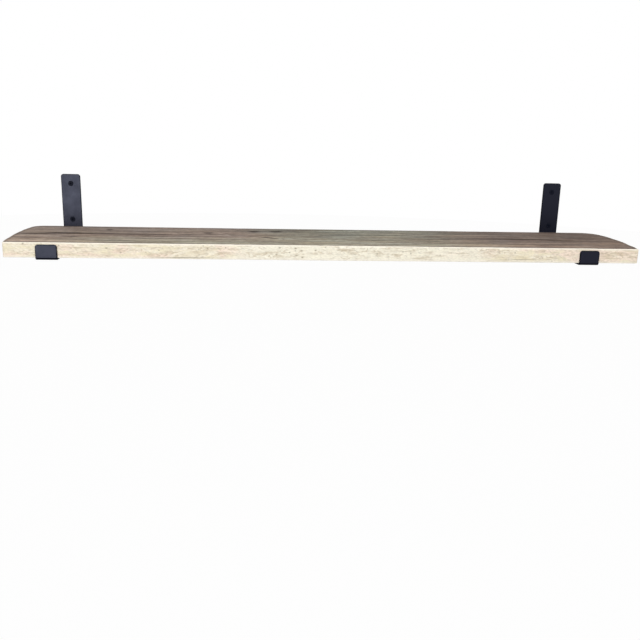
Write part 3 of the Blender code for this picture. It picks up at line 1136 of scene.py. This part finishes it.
@dataclass
class Screw(Part):
    """A countersunk wood screw with a cross recess and a rolled thread."""

    size: ScrewSize
    drive: Drive
    turn: float
    sides: int = 72
    face_rings: int = 22
    rim_rings: int = 3
    rings_per_pitch: int = 8
    recess_steepness: float = 4.0
    ridge_steepness: float = 3.2
    blunt: float = 0.02

    @property
    def length(self) -> float:
        """From the face of the head to the point."""
        return float(self.box.size[self.drive.value[2]])

    @property
    def angles(self) -> Array:
        """The angles round a ring, backwards, so that rings that rise along the screw face out."""
        return -2.0 * math.pi * np.arange(self.sides) / self.sides

    def placed(self, local: Array) -> Array:
        """Puts points of a screw that stands on its head at the origin where the frame has it.

        Args:
            local: points with the screw's length along their third axis.

        Returns:
            The points in the frame.
        """
        head, along = self.box.centre, self.drive.value[2]
        head[along] = self.box.low[along]
        points = np.empty_like(local)
        points[..., list(self.drive.value)] = local
        return head + points

    def turned(self, name: str, radius: Array, height: Array, poles: Sequence[float]) -> bpy.types.Object:
        """Makes a closed object of rings about the screw's axis, (r cos a, r sin a, h).

        Args:
            name: what the object is called after its node.
            radius: each ring's radius, or its radius at each angle.
            height: how far along the axis each ring is, or each of its points.
            poles: how far along the axis the closing points are, before the first ring and after the last.

        Returns:
            The object.
        """
        across, up = radius * np.cos(self.angles), radius * np.sin(self.angles)
        rings = np.stack(np.broadcast_arrays(across, up, height), axis=-1)
        surface = Surface()
        numbers = surface.add_points(self.placed(rings))
        ends = surface.add_points(self.placed(np.array(poles)[:, None] * UP))
        surface.add_grid(numbers, wrap=True)
        surface.add_fan(ends[0], numbers[0])
        surface.add_fan(ends[1], numbers[-1, ::-1])
        return surface.to_object(f"{self.node}_{name}")

    def recess(self, radius: Array) -> Array:
        """The depth of the cross recess round rings on the head's face.

        Each arm is as deep as the distance to its nearest edge times the steepness of its walls, up
        to the full depth, and the cross is the deeper of its two arms.

        Args:
            radius: the rings' radius.

        Returns:
            The depth at each angle.
        """
        size, steepness, angle = self.size, self.recess_steepness, self.angles - self.turn
        one, two = np.abs(radius * np.cos(angle)), np.abs(radius * np.sin(angle))
        arms = [
            np.minimum(size.recess_span / 2 - long, steepness * (size.recess_width / 2 - short))
            for long, short in ((one, two), (two, one))
        ]
        return np.clip(np.maximum(*arms) * steepness / 2, 0.0, size.recess_depth)

    def thread(self, along: Array) -> Array:
        """The shank's radius: a root with a ridge that climbs one pitch with each turn.

        The ridge is a triangle wave of the distance along less the turn, cut off to a narrow crest.
        It fades in after the head and shrinks evenly along the point.

        Args:
            along: the way along the screw from the face of the head.

        Returns:
            The radius at each angle.
        """
        size = self.size
        start = size.head_rim + size.cone
        phase = np.mod(along / size.pitch + self.angles / (2 * math.pi), 1.0)
        ridge = np.clip(1.0 - self.ridge_steepness * np.abs(phase - 0.5), 0.0, 1.0)
        begun = smooth_step(start + size.pitch, start + 2.5 * size.pitch, along)
        radius = size.shank / 2 - size.thread_depth * (1.0 - ridge) * begun
        return radius * np.clip((self.length - along) / size.point, self.blunt, 1.0)

    def build(self, material: bpy.types.Material, slot: str) -> bpy.types.Object:
        """Builds and dresses the screw.

        Rings run out over the face of the head, round its rim, down its cone and along the thread to
        the point, and every ring is a function of the angle round the axis.

        Args:
            material: the screw's finish.
            slot: not used.

        Returns:
            The finished piece.
        """
        size, even = self.size, np.ones(self.sides)
        ease, cone_end = size.head_rim / 2, size.head_rim + size.cone
        face = np.linspace(0.0, size.head / 2 - ease, self.face_rings)[1:, None]
        quarter = np.linspace(0.0, QUARTER, self.rim_rings + 1)[1:, None]
        steps = int(self.rings_per_pitch * (self.length - cone_end) / size.pitch)
        along = np.linspace(cone_end, self.length, steps)[:-1, None]
        rounded = size.head / 2 - ease + ease * np.sin(quarter)
        radius = np.vstack([face * even, rounded * even, size.head / 2 * even, self.thread(along)])
        fallen = ease * (1.0 - np.cos(quarter))
        height = np.vstack([self.recess(face), fallen * even, size.head_rim * even, along * even])
        piece = self.turned("threaded", radius, height, (size.recess_depth, self.length))
        return self.dress(piece, material, slot)

    def hole(self) -> bpy.types.Object:
        """Makes the cutter for the screw's countersunk hole: its outline moved out by the clearance.

        Returns:
            The cutter.
        """
        size, gap = self.size, self.size.clearance
        wide, narrow = size.head / 2 + gap, size.shank / 2 + gap
        cone_top = size.head_rim + gap * (math.sqrt(2.0) - 1.0)
        start, end = -size.head, self.length + gap
        radius = np.array([wide, wide, narrow, narrow])[:, None]
        height = np.array([start, cone_top, cone_top + size.cone, end])[:, None]
        return self.turned("hole", radius, height, (start, end))


@dataclass
class Bracket(Part):
    """A bracket: one flat bar bent into a wall leg, a seat under the plank and a short front lip."""

    screws: tuple[Screw, ...]
    thickness: float = 0.0032
    inner_bend: float = 0.0015
    corner: float = 0.005
    edge: float = 0.0006
    lip_height: float = 0.0278
    bend_steps: int = 11
    leg_steps: int = 14
    seat_steps: int = 22
    lip_steps: int = 4
    edge_steps: int = 5

    @property
    def half_width(self) -> float:
        """Half the width of the bar."""
        return float(self.box.size[0]) / 2

    def path(self) -> tuple[Array, Array]:
        """Follows the middle of the bar from the top of the leg to the top of the lip.

        The leg, the seat and the lip are straight, and each bend is a quarter circle. Points crowd
        towards both ends, where the corners are rounded.

        Returns:
            Points as y and z, and the direction there towards the outside of the bends.
        """
        low, high, half = self.box.low, self.box.high, self.thickness / 2
        bend, outer = self.inner_bend + half, self.inner_bend + self.thickness
        bend_z, lip_top = low[2] + outer, low[2] + self.lip_height
        back, front = high[1] - outer, low[1] + outer
        ends = self.corner * (1.0 - np.cos(np.linspace(0.0, QUARTER, self.bend_steps)))
        leg = np.linspace(high[2] - self.corner, bend_z, self.leg_steps)[1:-1]
        lip = np.linspace(bend_z, lip_top - self.corner, self.lip_steps)[1:-1]
        seat = np.linspace(back, front, self.seat_steps)[1:-1]
        turn = np.linspace(0.0, -QUARTER, self.bend_steps)
        parts = (
            (high[1] - half, np.concatenate([high[2] - ends, leg]), 0.0),
            (back + bend * np.cos(turn), bend_z + bend * np.sin(turn), turn),
            (seat, low[2] + half, -QUARTER),
            (front + bend * np.sin(turn), bend_z - bend * np.cos(turn), turn - QUARTER),
            (low[1] + half, np.concatenate([lip, lip_top - ends[::-1]]), -math.pi),
        )
        y, z, lean = np.hstack([np.stack(np.broadcast_arrays(*part)) for part in parts])
        return np.stack([y, z], axis=-1), np.stack([np.cos(lean), np.sin(lean)], axis=-1)

    def section(self) -> Array:
        """One round of the bar's section, a rectangle with rounded edges, in shares.

        Returns:
            For each point: its share of the half width and of the edge's radius across the bar, and
            the same through the bar.
        """
        quarter = np.linspace(0.0, QUARTER, self.edge_steps)
        flats = np.array([0.93, 0.5, 0.0, -0.5, -0.93])
        rounds = []
        for number, (across, through) in enumerate(((1, 1), (-1, 1), (-1, -1), (1, -1))):
            angle = quarter + number * QUARTER
            rounds.append((across, np.cos(angle), through, np.sin(angle)))
            if across == through:
                rounds.append((flats * across, 0.0, through, through))
        return np.vstack([np.stack(np.broadcast_arrays(*part), axis=-1) for part in rounds])

    def bar(self) -> bpy.types.Object:
        """Carries the section along the path.

        The half width is less near an end by the circle of the corner, and the half thickness by the
        circle of the rounded edge. Each end is closed across the section by a strip.

        Returns:
            The bent bar, without its holes.
        """
        path, outward = self.path()
        way = np.concatenate([[0.0], np.cumsum(np.hypot(*np.diff(path, axis=0).T))])
        from_end = np.minimum(way, way[-1] - way)
        shares = self.section()
        reach = []
        sizes = ((self.half_width, self.corner), (self.thickness / 2, self.edge))
        for (half, radius), (share, of_edge) in zip(sizes, (shares[:, :2].T, shares[:, 2:].T)):
            near = radius - np.minimum(from_end, radius)
            widest = half - radius + np.sqrt(radius**2 - near**2)
            reach.append(share * (widest - self.edge)[:, None] + of_edge * self.edge)
        across, through = reach
        points = np.stack([
            self.box.centre[0] + across,
            path[:, :1] + through * outward[:, :1],
            path[:, 1:] + through * outward[:, 1:],
        ], axis=-1)
        surface = Surface()
        numbers = surface.add_points(points)
        surface.add_grid(numbers, wrap=True)
        half = numbers.shape[1] // 2
        for row, order in ((numbers[0], 1), (numbers[-1], -1)):
            strip = np.stack([row[:half], row[: half - 1 : -1]])
            surface.add_grid(strip[:, ::-order])
        return surface.to_object(f"{self.node}_bent_bar")

    def drilled(self) -> bpy.types.Object:
        """Cuts the screws' holes in the bar.

        Returns:
            The bar with its holes.
        """
        piece = self.bar()
        holes = [screw.hole() for screw in self.screws]
        for hole in holes:
            drill = piece.modifiers.new(hole.name, "BOOLEAN")
            drill.operation = "DIFFERENCE"
            drill.solver = "EXACT"
            drill.object = hole
        drilled = piece.evaluated_get(bpy.context.evaluated_depsgraph_get())
        mesh = bpy.data.meshes.new_from_object(drilled)
        piece.modifiers.clear()
        piece.data = mesh
        for hole in holes:
            bpy.data.objects.remove(hole)
        mesh.shade_smooth()
        mesh.set_sharp_from_angle(angle=SHARP_ANGLE)
        mesh.materials.clear()
        return piece

    def rim(self, points: Array) -> Array:
        """How near each point is to the bar's edges, its ends or the underside of its seat: painted shade.

        Args:
            points: places on the bar.

        Returns:
            1 at an edge, and 0 on the flat faces.
        """
        x, y, z = points.T
        low, high, edge = self.box.low, self.box.high, self.edge
        across = np.abs(x - self.box.centre[0])
        sides = smooth_step(self.half_width - 2.0 * edge, self.half_width - 0.5 * edge, across)
        drop = self.inner_bend + self.thickness
        under = 1.0 - smooth_step(0.5 * drop, 1.1 * drop, z - low[2])
        end_z = np.where(y < self.box.centre[1], low[2] + self.lip_height, high[2])
        ends = 1.0 - smooth_step(0.5 * edge, 2.0 * edge, end_z - z)
        return np.max([sides, under, ends], axis=0)

    def build(self, material: bpy.types.Material) -> bpy.types.Object:
        """Builds, drills and dresses the bracket.

        Args:
            material: the bracket's finish.

        Returns:
            The finished piece.
        """
        piece = self.drilled()
        points = np.empty(len(piece.data.vertices) * 3, np.float32)
        piece.data.vertices.foreach_get("co", points)
        # The rim marks where the coat is painted black and matt, as shade.
        add_attribute(piece.data, "rim", self.rim(points.reshape(-1, 3)))
        level = piece.modifiers.new("level_faces", "WEIGHTED_NORMAL")
        level.keep_sharp = True
        return self.dress(piece, material, "black_powder_coat")


@dataclass(frozen=True)
class Softbox:
    """A soft studio lamp: where it stands, what it faces, its size and its power in watts."""

    name: str
    place: tuple[float, float, float]
    aim: tuple[float, float, float]
    width: float
    height: float
    power: float

    def build(self) -> None:
        """Sets up the lamp."""
        lamp = bpy.data.lights.new(self.name, "AREA")
        lamp.shape = "RECTANGLE"
        lamp.size = self.width
        lamp.size_y = self.height
        lamp.energy = self.power
        stand = bpy.data.objects.new(self.name, lamp)
        stand.location = self.place
        facing = Vector(self.aim) - Vector(self.place)
        stand.rotation_euler = facing.to_track_quat("-Z", "Y").to_euler()
        stand.visible_camera = False
        bpy.context.scene.collection.objects.link(stand)


@dataclass
class Studio:
    """The studio: a white surround, a pale floor well below the shelf, soft lamps and the camera."""

    camera_place: tuple[float, float, float] = (-0.1352, -1.6070, 0.2502)
    heading: float = math.radians(5.2237)
    tilt: float = math.radians(14.6328)
    roll: float = math.radians(-1.4944)
    focal_share: float = 761.85 / 640.0
    sensor: float = 36.0
    ambient: float = 0.26
    white: str = "#FFFFFF"
    floor_z: float = -1.6
    floor_radius: float = 14.0
    floor_sides: int = 64
    floor_colour: str = "#F4F3F1"
    floor_whiteness: float = 0.98
    lamps: tuple[Softbox, ...] = (
        Softbox("left_softbox", (-1.92, -5.80, 0.45), (0.0, 0.0, 0.05), 1.5, 3.0, 206.0),
        Softbox("overhead_softbox", (0.40, -0.90, 2.30), (0.1, -0.1, 0.0), 1.8, 1.0, 35.0),
    )

    def background(self, add: Callable[..., Socket]) -> Socket:
        """Tells rays that show the background, seen, mirrored or through glass, from rays that light.

        Args:
            add: adds a node to the tree.

        Returns:
            1 for a ray that shows the background, and 0 for the rest.
        """
        rays = add("LightPath").node.outputs
        shown = add("Math", (rays["Is Camera Ray"], rays["Is Glossy Ray"]), **LARGER)
        return add("Math", (shown, rays["Is Transmission Ray"]), **LARGER)

    def surround(self) -> None:
        """Makes the world: white where it shows, dimmer as a light."""
        world = bpy.data.worlds.new("studio_surround")
        bpy.context.scene.world = world
        world.use_nodes = True
        world.node_tree.nodes.clear()
        add = partial(add_node, world.node_tree)
        light, shown = (
            add("Background", {"Color": linear(self.white), "Strength": strength})
            for strength in (self.ambient, 1.0)
        )
        mixed = add("MixShader", (self.background(add), light, shown))
        add("OutputWorld", {"Surface": mixed})

    def floor(self) -> None:
        """Lays a round floor, a ring of points about a middle, that is nearly white and keeps a shadow."""
        angle = 2.0 * math.pi * np.arange(self.floor_sides) / self.floor_sides
        surface = Surface()
        ring = self.floor_radius * np.stack([np.cos(angle), np.sin(angle), 0.0 * angle], axis=-1)
        numbers = surface.add_points(ring + self.floor_z * UP)
        middle = surface.add_points(self.floor_z * UP[None, :])
        surface.add_fan(middle[0], numbers)
        floor = surface.to_object("studio_floor")
        material, add = blank_material("matt_white_studio_floor")
        paint = add("BsdfDiffuse", {"Color": linear(self.floor_colour)})
        glow = add("Emission", {"Color": linear(self.white), "Strength": 1.0})
        share = add("Math", (self.background(add), self.floor_whiteness), **TIMES)
        add("OutputMaterial", {"Surface": add("MixShader", (share, paint, glow))})
        floor.data.materials.append(material)

    def camera(self) -> None:
        """Sets up the camera from its place, its heading to the right, its tilt down and its roll."""
        lens = bpy.data.cameras.new("studio_camera")
        lens.sensor_width = self.sensor
        lens.lens = self.focal_share * self.sensor
        camera = bpy.data.objects.new("studio_camera", lens)
        pose = Matrix.Translation(self.camera_place)
        for angle, axis in ((-self.heading, "Z"), (QUARTER - self.tilt, "X"), (-self.roll, "Z")):
            pose = pose @ Matrix.Rotation(angle, 4, axis)
        camera.matrix_world = pose
        bpy.context.scene.collection.objects.link(camera)
        bpy.context.scene.camera = camera

    def build(self) -> None:
        """Sets up everything round the shelf."""
        bpy.context.scene.view_settings.view_transform = "Standard"
        self.surround()
        self.floor()
        self.camera()
        for lamp in self.lamps:
            lamp.build()
        log.info("studio: %d lamps", len(self.lamps))


WALL_SCREW = ScrewSize(0.005, 0.010, 0.0048, 0.0012, 0.0018, 0.0022, 0.0008)
PLANK_SCREW = ScrewSize(0.0035, 0.007, 0.0036, 0.0009, 0.0013, 0.0016, 0.0006)

# Black oxide is thin, matt and almost black, and the oil on it leaves only a faint, wide glint.
BLACK_OXIDE = ScrewSteel(
    "steel_black_oxide_oiled", ("#0C0F1C", "#171A28"), 1.5, (0.45, 0.75), (0.48, 0.65), 0.01, 0.0, 0.08
)
# Zinc is a clear grey metal, and the passivation over it shifts a little between blue and straw.
BRIGHT_ZINC = ScrewSteel(
    "steel_bright_zinc_plated", ("#B4B9BE", "#BDB8A8"), 2.5, (0.35, 0.65), (0.24, 0.40), 0.008, 1.0
)


def main() -> None:
    """Builds the shelf's pieces in order, then the studio, and reports them."""
    logging.basicConfig(level=logging.INFO, format="%(name)s: %(message)s")
    pieces = [Plank("plank").build()]
    coat, black, zinc = (finish.material() for finish in (PowderCoat(), BLACK_OXIDE, BRIGHT_ZINC))
    golden_turn = math.pi * (3.0 - math.sqrt(5.0))
    for number, side in enumerate(("left", "right")):
        wall = [
            Screw(f"{side}_{row}_wall_screw", WALL_SCREW, Drive.INTO_WALL, golden_turn * turn)
            for turn, row in enumerate(("upper", "lower"), 2 * number)
        ]
        under = [
            Screw(f"{side}_{row}_plank_screw", PLANK_SCREW, Drive.UP_INTO_PLANK, golden_turn * turn)
            for turn, row in ((number, "front"), (number - 1, "back"))
        ]
        pieces.append(Bracket(f"{side}_bracket", (*wall, *under)).build(coat))
        pieces += [screw.build(black, "blackened_steel") for screw in wall]
        pieces += [screw.build(zinc, "zinc_plated_steel") for screw in under]
    for piece in pieces:
        log.info("%s: %d faces", piece.name, len(piece.data.polygons))
    Studio().build()


if __name__ == "__main__":
    main()
